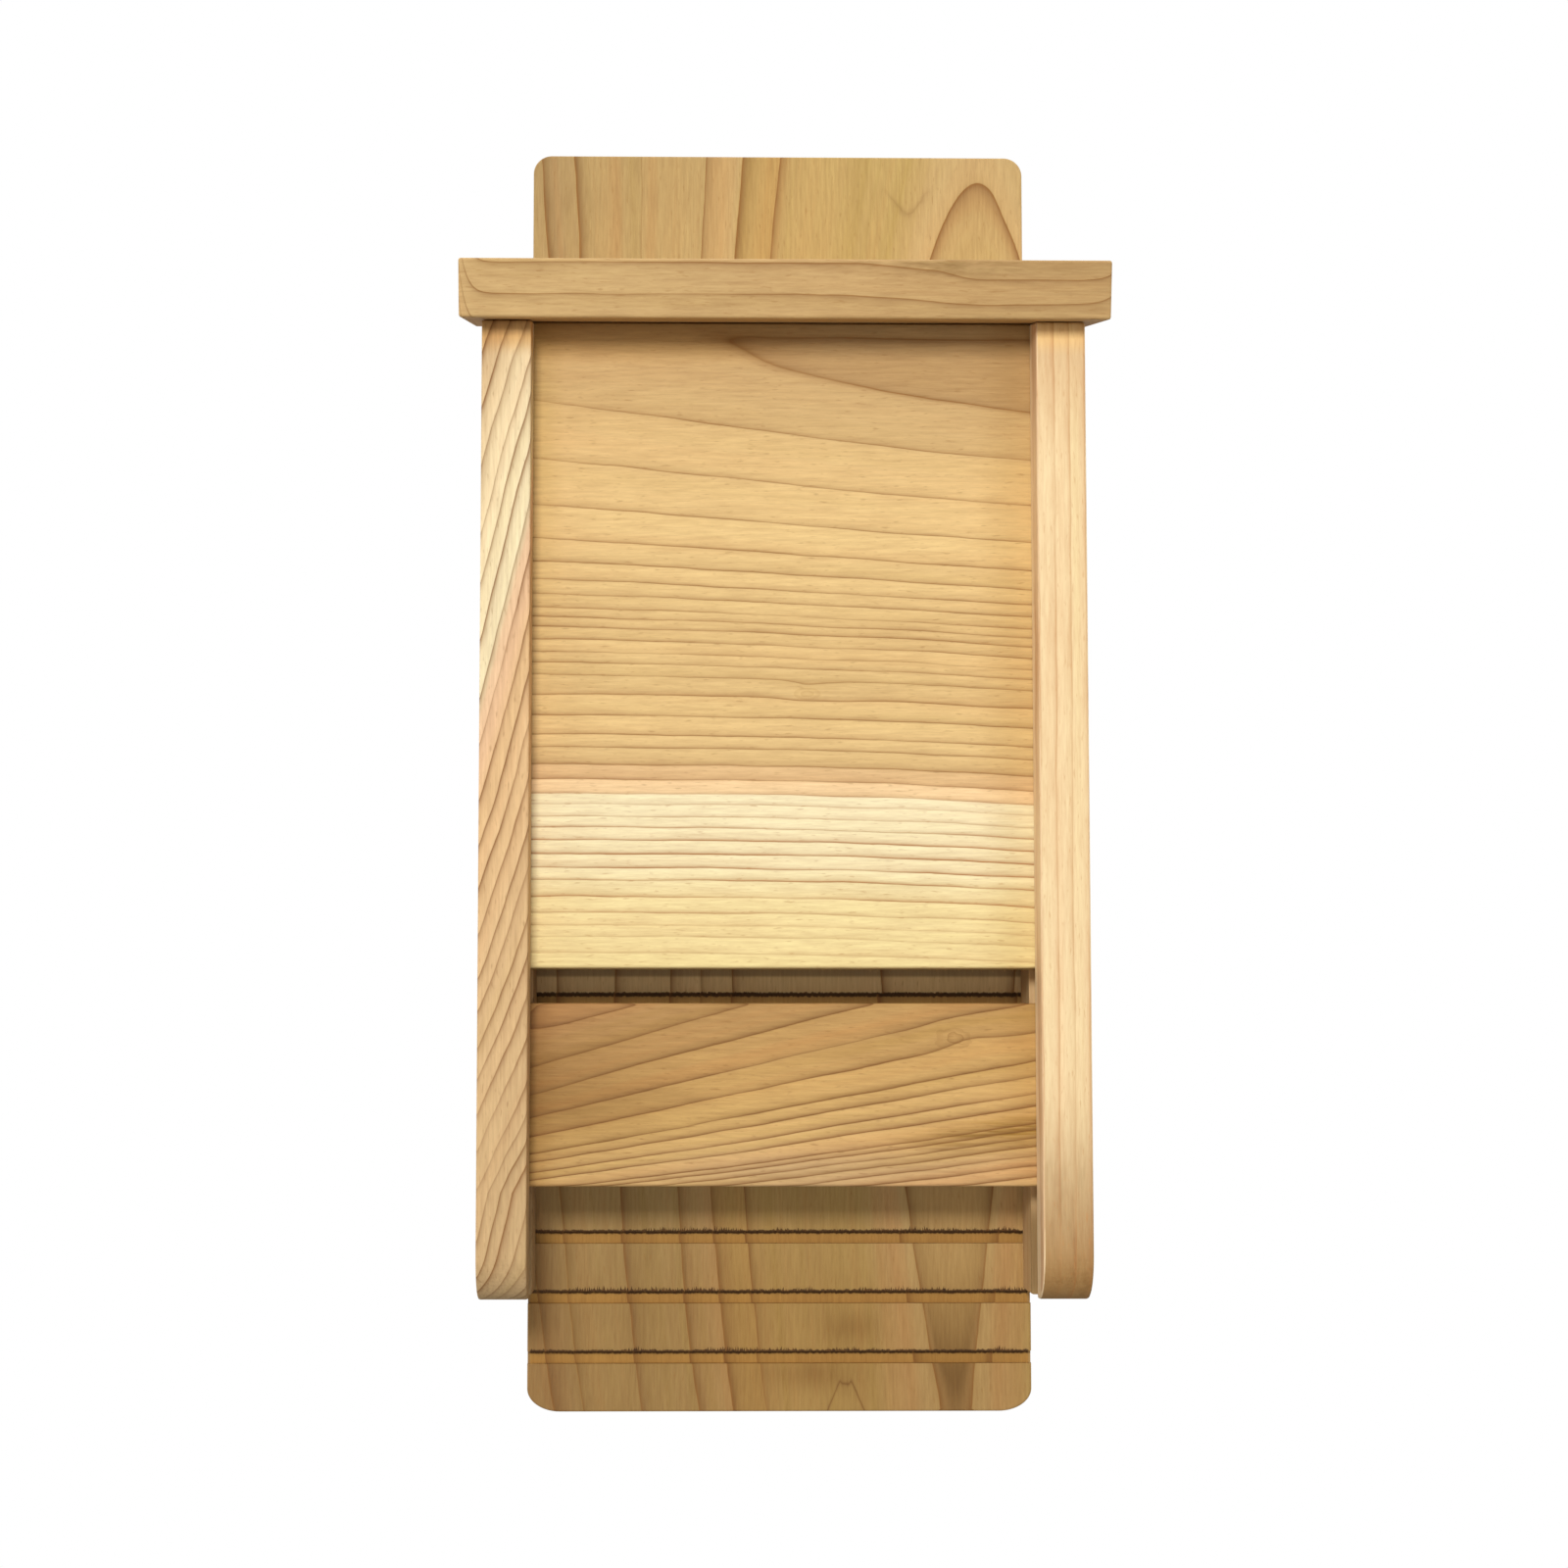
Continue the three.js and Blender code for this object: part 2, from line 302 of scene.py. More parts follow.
class Cedar:
    """The bare wood of one board. The rings are circles round a pith line that runs along the
    grain, and where the board cuts them they show as lines, arches and end grain."""
    # The dark wood at the end of a ring.
    late = LATE
    # The width, start and shuffle of even rings, or each ring's own radius in millimetres.
    rings = None
    radii = None
    # With a face_depth, radii are measured along a face that lies that far from the pith.
    face_depth = None
    # How the rings widen along the length, how they wave, and what shifts the grain by place.
    taper = None
    waviness = 2.0 * MM
    wave_rate = 3.0
    bend = None
    # The strength and width of a ring's line, and of the browner wood that leads to it.
    line = 0.6
    line_width = 0.36 * MM
    lead = 0.45
    lead_length = 1.6 * MM
    # How strong most lines are, and what makes some of them faint or bold.
    level = 0.72
    hush = None
    # A radius, and the late colour beyond it.
    pale = None
    # What colours the wood by place, with its stains and painted shade, and how much cloud and
    # banding it has.
    stain_and_shade = None
    mottle = 0.2
    banding = 0.25
    seed = 0.0

    def __init__(self, name, axes, pith_across, pith_deep, tones, **marks):
        """The pith's place across the board and in its depth are polynomials of the length. The
        tones are colours by radius, and marks are any of the values above."""
        self.name = name
        self.axes = axes
        self.pith_across = pith_across
        self.pith_deep = pith_deep
        self.tones = tones
        for mark, value in marks.items():
            setattr(self, mark, value)

    def ring_place(self, places):
        """How far a place is beside the pith line, and its radius."""
        along, wide, thick = places
        wave_rates = (self.wave_rate, WAVE_SHAPE * self.wave_rate)
        wave = grain_noise(places, wave_rates, offset=self.seed) * self.waviness
        ripple = grain_noise(places, RIPPLE_RATES, 3.0, offset=self.seed) * RIPPLE
        side = wide - polynomial(along, self.pith_across) + wave + ripple
        depth = thick - polynomial(along, self.pith_deep) + wave * WAVE_IN_DEPTH
        if self.bend:
            side = side + self.bend(along, wide, thick)
        if self.taper:
            side = side / polynomial(along, self.taper)
        radius = hypotenuse(side, depth)
        if self.face_depth:
            radius = (radius * radius - self.face_depth ** 2).math("MAXIMUM", 0.0) ** 0.5
        return side, radius

    def ring_marks(self, places, side, radius):
        """The fine line of each ring, the browner wood that leads to it and the ring's tone."""
        along, _, thick = places
        if self.radii:
            ahead, behind, number = listed_rings(radius, self.radii)
        else:
            ahead, behind, number = even_rings(radius, *self.rings, self.seed)
        slant = radius / side.size().math("MAXIMUM", radius * LEAST_SIDE_SHARE)
        ahead, behind = ahead * slant, behind * slant
        own = vector(number * STRENGTH_RATES[0] + self.seed, along * STRENGTH_RATES[1],
                     STRENGTH_SLICE)
        strength = (noise(own) * STRENGTH_SPREAD + self.level).clamped()
        if self.hush:
            strength = strength * self.hush(number, along, thick)
        fine = (ahead.fade(self.line_width) + behind.fade(LINE_END)).clamped() * strength
        lead_in = ahead.fade(self.lead_length) * strength
        tone = vector(number * RING_TONE_RATE - self.seed, self.seed, RING_TONE_SLICE)
        return fine, lead_in, noise(tone, 0.0) + 0.5

    def colour(self, places, radius, fine, lead_in, ring_tone, fibre):
        """The colour of the wood, from its tones to its flecks."""
        seed, late = self.seed, self.late
        if self.pale:
            start, pale_late = self.pale
            beyond = radius.rise(start - PALE_EDGE, start + PALE_EDGE)
            late = blended(beyond, late, pale_late)
        cloud = grain_noise(places, CLOUD_RATES, 4.0, 0.6, -seed)
        warmth = grain_noise(places, WARMTH_RATES, offset=seed)
        fleck = grain_noise(places, FLECK_RATES, 1.0, offset=-seed).rise(*FLECK_RANGE)
        band = noise(vector(radius * BAND_RATES[0] + seed, places[0] * BAND_RATES[1],
                            BAND_SLICE), 3.0, 0.6)

        reach = self.tones[-1][0]
        colour = ramp(radius / reach, [(place / reach, tone) for place, tone in self.tones])
        colour = tinted((ring_tone * 0.5).clamped() * RING_TONE_SHARE, colour, late)
        colour = tinted((warmth * 0.9).clamped() * WARMTH_SHARE, colour, PINK)
        colour = tinted((band * BAND_GAIN).clamped() * self.banding, colour, PINK)
        colour = tinted((band * -BAND_GAIN).clamped() * self.banding, colour, OLIVE)
        if self.stain_and_shade:
            colour = self.stain_and_shade(colour, *places, radius)
        colour = tinted((cloud * 0.9 + 0.35).clamped() * self.mottle, colour, late)
        colour = tinted(lead_in * self.lead, colour, late)
        colour = blended(fine * self.line, colour, late)
        colour = tinted((fibre * 1.1 + 0.4).clamped() * FIBRE_SHARE, colour, late)
        return blended(fleck * FLECK_SHARE, colour, late)

    def material(self):
        material, tree, shader, xyz = new_material(self.name)
        places = [xyz[axis] for axis in self.axes]
        side, radius = self.ring_place(places)
        fine, lead_in, ring_tone = self.ring_marks(places, side, radius)
        fibre = grain_noise(places, FIBRE_RATES, 3.0, 0.7, self.seed)
        colour = self.colour(places, radius, fine, lead_in, ring_tone, fibre)
        plug(tree, colour, shader.inputs["Base Color"])
        shader.inputs["Roughness"].default_value = WOOD_ROUGHNESS
        shader.inputs["Specular IOR Level"].default_value = WOOD_SHINE
        bump = tree.nodes.new("ShaderNodeBump")
        bump.inputs["Strength"].default_value = BUMP_STRENGTH
        bump.inputs["Distance"].default_value = BUMP_HEIGHT
        plug(tree, fine * LINE_BUMP + fibre * FIBRE_BUMP, bump.inputs["Height"])
        tree.links.new(bump.outputs[0], shader.inputs["Normal"])
        return material


def steel(name):
    material, tree, shader, xyz = new_material(name)
    mottle = noise(vector(*xyz), 3.0, scale=900.0)
    colour = blended((mottle * 0.5 + 0.5).clamped(), rgb(92, 88, 82), rgb(142, 137, 128))
    plug(tree, colour, shader.inputs["Base Color"])
    shader.inputs["Metallic"].default_value = 0.9
    plug(tree, mottle * 0.1 + 0.5, shader.inputs["Roughness"])
    return material


def frayed(name, dark, light):
    """Loose wood fibres, darker or lighter from one to the next."""
    material, tree, shader, xyz = new_material(name)
    shade = noise(vector(*xyz), scale=700.0)
    colour = blended((shade * 0.9 + 0.4).clamped(), dark, light)
    plug(tree, colour, shader.inputs["Base Color"])
    shader.inputs["Roughness"].default_value = 0.85
    return material


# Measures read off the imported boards.
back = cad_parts["back_board"]
back_low, back_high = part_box("back_board")
FACE = back_low[1]
FLOOR_DEPTH = 3.0 * MM
FLOOR_TOLERANCE = 0.01 * MM
groove_edges = sorted({round(vertex.co.z, 5) for vertex in back.data.vertices
                       if abs(vertex.co.y - FACE - FLOOR_DEPTH) < FLOOR_TOLERANCE})
GROOVE_HEIGHT = groove_edges[1] - groove_edges[0]
GROOVE_PITCH = groove_edges[2] - groove_edges[0]
upper_low, upper_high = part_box("upper_front_board")
lower_board_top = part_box("lower_front_board")[1][2]
panel_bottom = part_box("left_side_panel")[0][2]


def swollen(a, b, swells):
    """How far swells shift the grain. Each has a centre, a reach and a shift."""
    shifts = [spot(a, b, centre, reach) * shift for centre, reach, shift in swells]
    return sum(shifts[1:], shifts[0])


def knot_loops(distance, ring, edge, core, sharpness=1.0):
    """The small rings of a knot, which fade from its core to its edge."""
    return (distance / ring).fraction() ** sharpness * distance.drop(edge, core)


# Where a pair goes to rise or drop, its mark starts at the first and is whole at the second.
# Swells, patches and clouds have a centre and a reach.

# Upper front board.
FRONT_PITH = 160.1 * MM
FRONT_CLIMB = (0.0, 0.1054, -0.2406, -2.437)
FRONT_CLIMB_REACH = 82.3 * MM
FRONT_SWELLS = (
    (mm(-24, 161), mm(15, 7.5), -3.6 * MM),
    (mm(9, 27), mm(9, 3.5), 2.4 * MM),
    (mm(23, 26), mm(7, 3), 1.6 * MM),
)
FIRST_PALE_RING = 22
BOLDEST_RING = 27.0
BOLD_RANGE = (5.0, 0.5)
BOLD_GAIN, FAINT_LOSS = 0.8, 0.5
PIN_KNOT = mm(9.5, 26.2)
PIN_KNOT_LENGTH = 2.2
PIN_KNOT_RING, PIN_KNOT_EDGE, PIN_KNOT_CORE = mm(1.2, 3.0, 1.8)
FRONT_TOP = mm(153, 163)
FRONT_TOP_SIDE = mm(30, -30)
FRONT_LEFT_EDGE = mm(-83, -95)
FRONT_LEFT_RISE = mm(0, 130)
FRONT_RIGHT_EDGE = mm(72, 91)
GREY_PATCH = (mm(46, 161.2), mm(34, 4.2))


def front_bend(along, wide, thick):
    """The rings climb most near the top of the board. They arch under the roof and dip round a
    pin knot."""
    high = wide - FRONT_PITH
    near_top = (high * high / FRONT_CLIMB_REACH ** 2).fade(1.0)
    return polynomial(along, FRONT_CLIMB) * near_top + swollen(along, wide, FRONT_SWELLS)


def front_hush(number, along, thick):
    """The lines in the pale wood are strongest halfway down it."""
    pale_wood = number.above(FIRST_PALE_RING - 0.5)
    near = (number - BOLDEST_RING).size().drop(*BOLD_RANGE)
    return (near * BOLD_GAIN - FAINT_LOSS) * pale_wood + 1.0


def front_stain_and_shade(colour, along, wide, thick, radius):
    """A pin knot in the middle, painted shade under the roof and along both edges, and a faint
    grey patch.
    """
    knot = hypotenuse((along - PIN_KNOT[0]) / PIN_KNOT_LENGTH, wide - PIN_KNOT[1])
    loops = knot_loops(knot, PIN_KNOT_RING, PIN_KNOT_EDGE, PIN_KNOT_CORE)
    colour = blended(loops * 0.4, colour, rgb(196, 152, 88))
    # Painted shade under the roof, across the top of the board's left part.
    top = wide.rise(*FRONT_TOP) * along.drop(*FRONT_TOP_SIDE)
    colour = tinted(top * 0.7, colour, rgb(246, 232, 206))
    # Painted shade along the left edge in the upper part, and along the right edge, where the
    # side panels shade the board.
    left_edge = along.drop(*FRONT_LEFT_EDGE) * wide.rise(*FRONT_LEFT_RISE)
    colour = tinted(left_edge, colour, rgb(241, 240, 228))
    right_edge = along.rise(*FRONT_RIGHT_EDGE)
    colour = tinted(right_edge, colour, rgb(240, 237, 229))
    grey = spot(along, wide, *GREY_PATCH) * 0.12
    return tinted(grey.clamped(), colour, rgb(206, 198, 184))


# Lower front board.
LOWER_SWELLS = ((mm(70, -105.7), mm(13, 7), -2.6 * MM),)
LOWER_LEFT_END = mm(-83.5, -97.5)
LOWER_RIGHT_EDGE = mm(78, 96)
DARK_PATCH = (mm(-86, -132.5), mm(55, 21))
DULL_PATCH = (mm(4, -157), mm(52, 8))
SMALL_KNOT = mm(65.5, -106.6)
SMALL_KNOT_LENGTH = 2.1
SMALL_KNOT_RING, SMALL_KNOT_EDGE, SMALL_KNOT_CORE = mm(2.0, 5.0, 2.5)
SMALL_KNOT_SHARPNESS = 2.0
SMALL_KNOT_WARP = 2.6 * MM
WARP_RATE, WARP_RATE_ACROSS = 130.0, 180.0
STREAK_SLOPE = 0.11
STREAK_HEIGHT = -152.0 * MM
STREAK_WIDTH = 5.2 * MM
STREAK_START = mm(30, 90)
STREAK_RATES = (30.0, 600.0)


def lower_bend(along, wide, thick):
    """The grain swells round a small knot."""
    return swollen(along, wide, LOWER_SWELLS)


def lower_stain_and_shade(colour, along, wide, thick, radius):
    """A small knot, a dark left end, a dull patch low down, an olive streak at the right and
    painted shade along the right edge.
    """
    left_end = along.drop(*LOWER_LEFT_END)
    colour = tinted(left_end * 0.5, colour, rgb(196, 178, 132))
    dark = spot(along, wide, *DARK_PATCH)
    colour = tinted(dark.clamped(), colour, rgb(213, 206, 194))
    # Painted shade along the right edge, beside the side panel.
    right_edge = along.rise(*LOWER_RIGHT_EDGE)
    colour = tinted(right_edge, colour, rgb(240, 238, 230))
    dull = spot(along, wide, *DULL_PATCH) * 0.40
    colour = blended(dull.clamped(), colour, rgb(206, 174, 134))

    place = vector(along * WARP_RATE, wide * WARP_RATE_ACROSS, thick * WARP_RATE)
    warp = noise(place) * SMALL_KNOT_WARP
    knot = hypotenuse((along - SMALL_KNOT[0]) / SMALL_KNOT_LENGTH, wide - SMALL_KNOT[1]) + warp
    loops = knot_loops(knot, SMALL_KNOT_RING, SMALL_KNOT_EDGE, SMALL_KNOT_CORE,
                       SMALL_KNOT_SHARPNESS)
    colour = blended(loops * 0.5, colour, rgb(150, 102, 46))

    beside = wide - along * STREAK_SLOPE - STREAK_HEIGHT
    band = (beside * beside / STREAK_WIDTH ** 2).fade(1.0) * along.rise(*STREAK_START)
    colour = blended(band * 0.50, colour, rgb(212, 174, 90))
    streaks = grain_noise((along, wide, thick), STREAK_RATES, 3.0, 0.6)
    olive = band * (streaks * 1.8 + 0.4).clamped() * 0.9
    return blended(olive, colour, rgb(160, 120, 32))


# Left side panel.
PANEL_FRONT = -84.0 * MM
LEAN_MIDDLE, LEAN_SPREAD = 0.10, 0.30
LEAN_RATE, LEAN_RATE_DEEP = 7.0, 9.0
LEAN_SLICE = 0.4
LEFT_TOE = -165.0 * MM
LEFT_TOE_SLOPE = 0.26
LEFT_FACE_HUSH = 0.62
LEFT_BEHIND = mm(-83, -60)
LEFT_TOP = mm(153, 162)
LEFT_TOP_FRONT = mm(-66, -80)


def left_bend(along, wide, thick):
    """The grain runs straighter at the toe, and behind the front edge it leans this way and
    that."""
    place = vector(along * LEAN_RATE, thick * LEAN_RATE_DEEP, LEAN_SLICE)
    lean = noise(place, rough=0.4) * LEAN_SPREAD + LEAN_MIDDLE
    toe = (along - LEFT_TOE).math("MINIMUM", 0.0) * LEFT_TOE_SLOPE
    return (thick - PANEL_FRONT) * lean + toe


def left_hush(number, along, thick):
    """The lines are fainter on the panel's wide faces than on its front edge."""
    return (thick.rise(*LEFT_BEHIND) * LEFT_FACE_HUSH).less_from(1.0)


def left_roof_shade(colour, along, wide, thick, radius):
    """Painted shade: the front edge is browner where the roof keeps the light off it."""
    top = along.rise(*LEFT_TOP) * thick.drop(*LEFT_TOP_FRONT)
    return tinted(top * 0.8, colour, rgb(238, 208, 160))


# Right side panel.
RIGHT_TOE = mm(-120, -190)
RIGHT_TIP = mm(-178, -202)
RIGHT_HIGH = mm(110, 150)
RIGHT_UNDER_ROOF = mm(154, 163)
RIGHT_INSIDE = 97.6 * MM
RIGHT_BEHIND = mm(-66, -60)
DADO_FLOOR = 102.5 * MM
DADO_SHOULDER = -45.75 * MM
SHOULDER_REACH = 1.0 * MM
SHOULDER_LOW = mm(-164, -180)
BLOT_RATES = (40.0, 190.0)


def right_stain_and_shade(colour, along, wide, thick, radius):
    """The toe is a deeper tan, mottled and darker still at its tip. Painted shade makes the top
    tan and browner under the roof, and darkens the panel behind the front boards and the shoulder
    of the dado low down. Painted light keeps the inner face pale."""
    toe = along.drop(*RIGHT_TOE)
    colour = blended(toe, colour, rgb(188, 155, 107))
    blots = grain_noise((along, wide, thick), BLOT_RATES, 3.0, 0.7)
    colour = blended(toe * (blots * 1.5).clamped() * 0.55, colour, rgb(142, 106, 58))
    tip = along.drop(*RIGHT_TIP)
    colour = tinted(tip, colour, rgb(239, 228, 204))
    # Painted shade: the top is tan, and browner still just under the roof.
    high = along.rise(*RIGHT_HIGH)
    colour = blended(high * 0.8, colour, rgb(230, 200, 152))
    under_roof = along.rise(*RIGHT_UNDER_ROOF)
    colour = blended(under_roof, colour, rgb(250, 214, 148))
    # Painted light: the inner face is kept pale, as if lit.
    inside = wide.below(RIGHT_INSIDE)
    colour = blended(inside, colour, rgb(250, 228, 186))
    # Painted shade: the panel is a darker tan behind the front boards.
    behind = thick.rise(*RIGHT_BEHIND)
    colour = blended(behind, colour, rgb(222, 190, 138))
    # Painted shade on the shoulder of the dado below the lower board.
    shoulder = (thick - DADO_SHOULDER).size().below(SHOULDER_REACH) * wide.below(DADO_FLOOR)
    low = along.drop(*SHOULDER_LOW)
    return tinted(shoulder * low, colour, rgb(181, 176, 162))


# Roof board.
ROOF_END = 123.5 * MM
LEFT_TURN, LEFT_TURN_REACH = mm(-28, 2.4)
RIGHT_TURN, RIGHT_TURN_REACH = mm(-3.5, 4)
ROOF_STEP = 3.6 * MM
ROOF_STEP_PLACE = mm(20, 78)
UPPER_STEP_PLACE = mm(56, 74)
UPPER_STEP_HEIGHT = mm(172, 182)
ROOF_GREY = mm(5, 85)
ROOF_PATCH = (mm(62, 184.5), mm(30, 4.5))
ROOF_STREAK_RATES = (60.0, 300.0)


def roof_bend(along, wide, thick):
    """The grain turns up at the ends of the board and steps down near the right one."""
    left = (along + ROOF_END).fade(LEFT_TURN_REACH) * LEFT_TURN
    right = along.less_from(ROOF_END).fade(RIGHT_TURN_REACH) * RIGHT_TURN
    step = along.rise(*ROOF_STEP_PLACE) * ROOF_STEP
    upper = along.rise(*UPPER_STEP_PLACE) * wide.rise(*UPPER_STEP_HEIGHT) * ROOF_STEP
    return left + right + step + upper


def roof_stain(colour, along, wide, thick, radius):
    """The wood is greyer towards the right end, with a streaked patch near it."""
    right = along.rise(*ROOF_GREY)
    colour = tinted(right * 0.8, colour, rgb(240, 238, 234))
    streaks = grain_noise((along, wide, thick), ROOF_STREAK_RATES, 3.0, 0.7)
    streaks = (streaks * 1.4 + 0.3).clamped()
    patch = spot(along, wide, *ROOF_PATCH)
    colour = blended(patch * streaks, colour, rgb(152, 122, 72))
    return blended(streaks * 0.20, colour, rgb(160, 116, 62))


# Back board.
DRIFT_SIDE = mm(26, -6)
DRIFT = (0.0, -0.0179, 0.0256, 0.738)
LEAN = (0.0, 0.0135, -0.0779, -0.4646)
LEAN_WIDTH = 60.0 * MM
BACK_SWELLS = ((mm(95, 202), mm(11, 20), -4.5 * MM),)
LOW_RING = 4.0
LOW_RING_END = mm(-100, 50)
HEART_EDGE = mm(31.8, 31.2)
HEART_LOW = mm(-195, -245)
TAB = mm(150, 190)
FOOT = mm(-120, -220)
VENT_MIDDLE = -85.0 * MM
VENT_LIGHT_REACH = mm(30, 18)
SHADOW_BOTTOM = mm(-82.6, -81.2)
SHADOW_TOP = mm(-60, -70)
CLOUD_PLACES = ((mm(29, -221.3), mm(11, 6)), (mm(13.4, -239.4), mm(18, 6)))
PEAK_X, PEAK_Z = mm(26.2, -241.2)
PEAK_HALF_WIDTH = 2.1 * MM
PEAK_DIP = -0.7 * MM
PEAK_ROUNDNESS = 0.5 * MM
PEAK_SLOPE = 2.4
PEAK_LINE = 0.8 * MM
PEAK_TOP = mm(-200, -210)
VALLEY_X, VALLEY_Z = mm(53.0, 227.0)
VALLEY_ROUNDNESS = 2.0 * MM
VALLEY_SLOPE = 1.5
VALLEY_LINE = 1.44 * MM
VALLEY_TOP = mm(243, 235)
VALLEY_START = mm(0, 100)
VALLEY_WOBBLE = 2.2
WOBBLE = 0.9 * MM
WOBBLE_RATE = 220.0
FLOOR_NEAR = FACE + 0.3 * MM
FLOOR_FAR = FACE + FLOOR_DEPTH + 0.2 * MM
BOARD_EDGE = back_high[0] - 1.0 * MM
JAG = 0.9 * MM
JAG_RATES = (700.0, 12.0)
LIP_START = mm(-1.45, -0.75)
LIP_END = mm(0.85, 0.25)
BELOW_LADDER = 1.0 * MM
ABOVE_LADDER = 2.0 * MM


def back_bend(along, wide, thick):
    """Left of the heart the grain drifts sideways along the board, and the arch at its top
    leans to the right."""
    drift = polynomial(along, DRIFT)
    lean = polynomial(along, LEAN) * (wide + LEAN_WIDTH) / LEAN_WIDTH
    arch = swollen(wide, along, BACK_SWELLS)
    return (drift + lean) * wide.drop(*DRIFT_SIDE) + arch


def back_hush(number, along, thick):
    """One ring shows only low down."""
    own = (number - LOW_RING).size().below(0.5)
    return (own * along.rise(*LOW_RING_END)).less_from(1.0)


def back_shade(colour, along, wide, radius, front):
    """A dark heart near the bottom, and the light and shade behind the vent and below it."""
    heart = radius.drop(*HEART_EDGE) * along.drop(*HEART_LOW)
    colour = blended(heart * 0.82, colour, rgb(154, 120, 66))
    tab = along.rise(*TAB)
    colour = tinted(tab, colour, rgb(246, 248, 248))
    behind_vent = front * (along - VENT_MIDDLE).size().drop(*VENT_LIGHT_REACH)
    colour = blended(behind_vent * 0.75, colour, rgb(250, 216, 156))
    shadow = front * along.rise(*SHADOW_BOTTOM) * along.drop(*SHADOW_TOP)
    colour = blended(shadow * 0.55, colour, rgb(92, 64, 32))
    foot = along.drop(*FOOT)
    colour = tinted(foot * 0.9, colour, rgb(212, 200, 180))
    left_cloud, right_cloud = (spot(wide, along, *cloud) for cloud in CLOUD_PLACES)
    clouds = ((left_cloud + right_cloud) * 0.42).clamped()
    return tinted(clouds, colour, rgb(190, 160, 120))


def back_figures(along, wide):
    """Lines in the shape of a small peak near the bottom and of a small valley near the top."""
    wobble = noise(vector(wide * WOBBLE_RATE, along * WOBBLE_RATE, 0.0)) * WOBBLE
    nothing = wide * 0.0
    beside = ((wide - PEAK_X).size() - PEAK_HALF_WIDTH).math("MAXIMUM", PEAK_DIP)
    peak = hypotenuse(beside, nothing + PEAK_ROUNDNESS) * PEAK_SLOPE + along - PEAK_Z + wobble
    peak = peak.size().fade(PEAK_LINE) * along.drop(*PEAK_TOP)
    valley = hypotenuse(wide - VALLEY_X, nothing + VALLEY_ROUNDNESS) * VALLEY_SLOPE
    valley = (valley - along + VALLEY_Z + wobble * VALLEY_WOBBLE).size().fade(VALLEY_LINE)
    valley = valley * along.drop(*VALLEY_TOP) * along.rise(*VALLEY_START)
    return (peak * 0.95 + valley * 0.34).clamped()


def groove_marks(colour, along, wide, thick, front):
    """Fresh orange wood on the floors of the grooves, and dark lips above them, partly scorched
    wood and partly painted shadow of the groove's upper edge.
    """
    inside = wide.size().below(BOARD_EDGE)
    floor = thick.above(FLOOR_NEAR) * thick.below(FLOOR_FAR) * inside
    colour = blended(floor * 0.9, colour, rgb(183, 137, 66))
    rise = ((along - groove_edges[0]) / GROOVE_PITCH).fraction() * GROOVE_PITCH
    jag = noise(vector(wide * JAG_RATES[0], along * JAG_RATES[1], 0.0), 3.0) * JAG
    lip = rise - GROOVE_HEIGHT + jag
    # The dark lip is partly scorched wood and partly painted shadow under the groove's upper
    # edge.
    lip_burn_and_shadow = lip.rise(*LIP_START) * lip.drop(*LIP_END)
    grooved = along.rise(groove_edges[0] - BELOW_LADDER, groove_edges[0])
    grooved = grooved * along.below(groove_edges[-1] + ABOVE_LADDER) * inside
    return blended(lip_burn_and_shadow * grooved * front * 0.88, colour, rgb(74, 46, 18))


# The back board's stains and marks, with painted light and shade from back_shade.
def back_stain_and_shade(colour, along, wide, thick, radius):
    front = thick.below(FLOOR_FAR)
    colour = back_shade(colour, along, wide, radius, front)
    colour = blended(back_figures(along, wide) * front, colour, rgb(132, 92, 44))
    return groove_marks(colour, along, wide, thick, front)


# The boards. A tone is a radius in millimetres and a colour.
def tones(*stops):
    return [(radius * MM, rgb(*colour)) for radius, *colour in stops]


